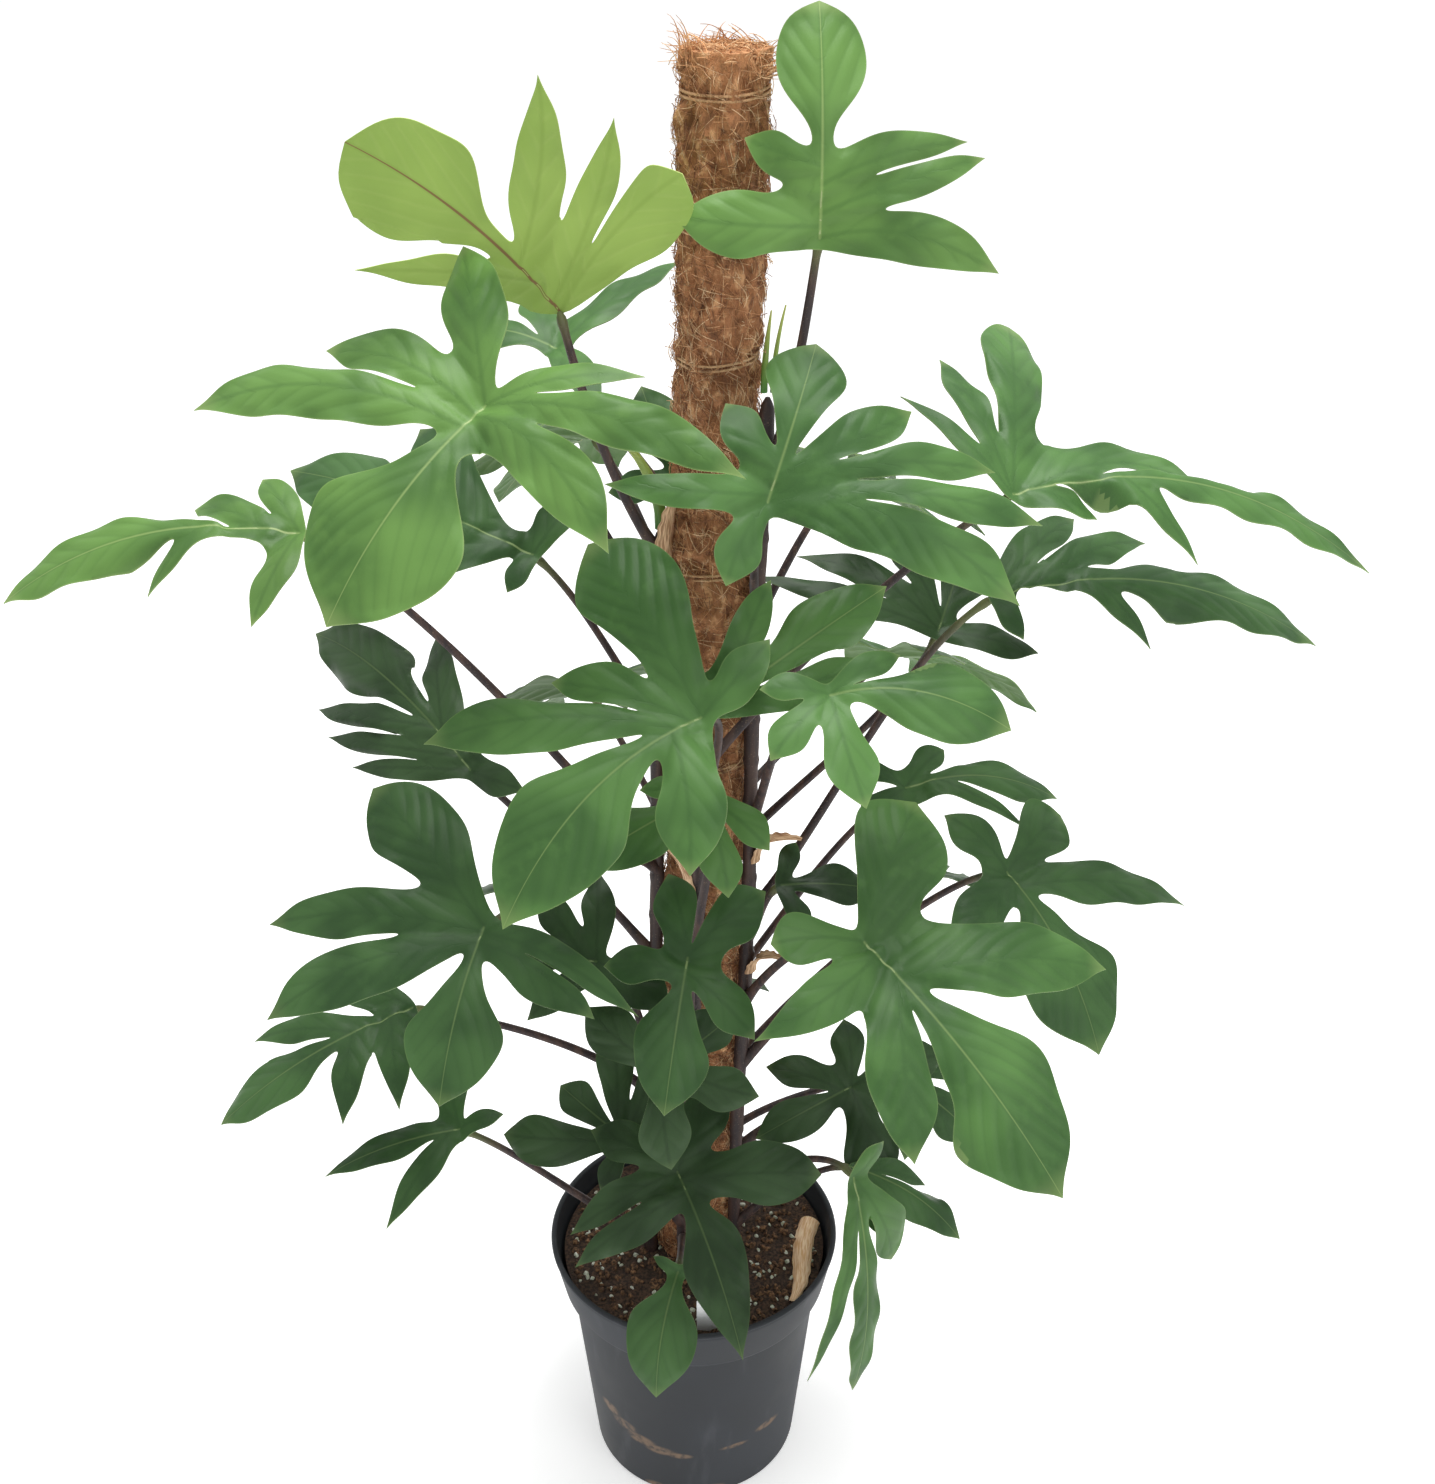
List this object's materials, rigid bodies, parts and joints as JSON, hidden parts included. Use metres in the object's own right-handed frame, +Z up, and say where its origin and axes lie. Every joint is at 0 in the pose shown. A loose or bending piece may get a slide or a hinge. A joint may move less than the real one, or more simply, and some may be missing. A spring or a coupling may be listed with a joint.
{
  "type": "potted climbing philodendron",
  "caption": "Climbing house plant with deeply lobed pedate leaves on dark stalks, tied to a coir pole in a round nursery pot.",
  "frame": {"origin": "centre of the pot's underside, where it stands on the surface", "axes": "+Z up along the pot's axis, -Y towards the front of the plant, +X to its right as seen from the front"},
  "size_m": [0.9098, 0.5335, 1.1962],
  "materials": {
    "pot": "matte dark grey moulded plastic, a little dusty",
    "soil": "dark peat with white perlite grains",
    "coir": "matted brown coconut fibre",
    "wood": "plain sawn softwood",
    "stalk": "smooth dark purple-brown plant stem, satin",
    "leaf": "mid to dark green leathery leaf, satin above and paler below",
    "lime_leaf": "young lime green leaf, satin",
    "sheath": "dry papery tan sheath",
    "label": "plain white plastic plant label, bare"
  },
  "bodies": {
    "root": {"pot": "pot", "soil": "soil", "label": "label", "pole_stake": "wood", "pole_coir": "coir", "stem_left": "stalk", "stem_front": "stalk", "stem_right": "stalk", "stem_back": "stalk", "blade_lime_top": "lime_leaf", "blade_top_right": "leaf", "blade_left_upper": "leaf", "blade_far_left": "leaf", "blade_left_behind": "leaf", "blade_crown_back": "leaf", "blade_centre_front": "leaf", "blade_centre_behind": "leaf", "blade_centre_mid": "leaf", "blade_right_upper": "leaf", "blade_right_far": "leaf", "blade_right_second": "leaf", "blade_right_inner": "leaf", "blade_right_mid": "leaf", "blade_right_lower": "leaf", "blade_right_back": "leaf", "blade_right_back_upper": "leaf", "blade_left_lower": "leaf", "blade_centre_small": "leaf", "blade_left_dark": "leaf", "blade_left_low_back": "leaf", "blade_left_bottom": "leaf", "blade_centre_left_dark": "leaf", "blade_front_left_dark": "leaf", "blade_front_bottom": "leaf", "blade_front_dark": "leaf", "blade_front_low": "leaf", "blade_right_hang": "leaf", "blade_right_bottom_out": "leaf", "blade_right_low_dark": "leaf", "blade_right_stub": "leaf", "blade_round_left": "leaf", "blade_back_top_left": "leaf", "blade_back_top_right": "leaf", "blade_back_mid_left": "leaf", "blade_back_mid_right": "leaf", "blade_back_low_left": "leaf", "blade_back_low_right": "leaf", "blade_back_bottom": "leaf", "blade_right_low_back": "leaf", "spear_left": "lime_leaf", "spear_right": "lime_leaf", "spear_right_thin": "lime_leaf", "sheath_front_top": "sheath", "sheath_front_mid": "sheath", "sheath_front_low": "sheath", "sheath_left_top": "sheath", "sheath_right_mid": "sheath", "sheath_right_low": "sheath", "sheath_fallen": "sheath"}
  },
  "joints": []
}
